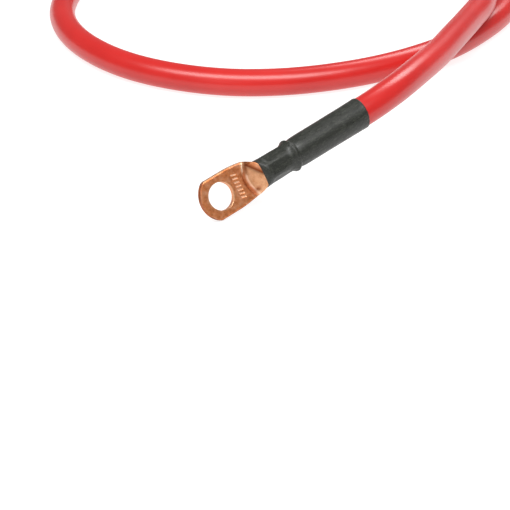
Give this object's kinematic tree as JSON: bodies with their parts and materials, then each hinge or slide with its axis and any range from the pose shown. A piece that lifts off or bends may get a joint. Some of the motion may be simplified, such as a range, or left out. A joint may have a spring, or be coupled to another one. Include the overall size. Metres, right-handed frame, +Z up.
{
  "type": "battery cable lug",
  "caption": "Copper tube lug with a flat palm and stud hole, hex crimped on a flexible stranded cable under a heat-shrink sleeve, the lead laid in a loop.",
  "frame": {"origin": "on the table, under the middle of the box round the near lug, its conductor and its sleeve", "axes": "+X along the near lug in plan, from the palm to the cable; +Y to the inside of the loop; +Z up, with the table at z = 0"},
  "size_m": [0.2751, 0.2535, 0.0323],
  "materials": {
    "copper": "matte annealed copper, lightly mottled",
    "copper_strand": "bare copper strands",
    "heat_shrink": "satin shrunk polyolefin",
    "red_jacket": "satin flexible PVC"
  },
  "bodies": {
    "root": {"lug": "copper", "conductor": "copper_strand", "heat_shrink_sleeve": "heat_shrink", "cable": "red_jacket", "far_lug": "copper", "far_conductor": "copper_strand", "far_sleeve": "heat_shrink"}
  },
  "joints": []
}
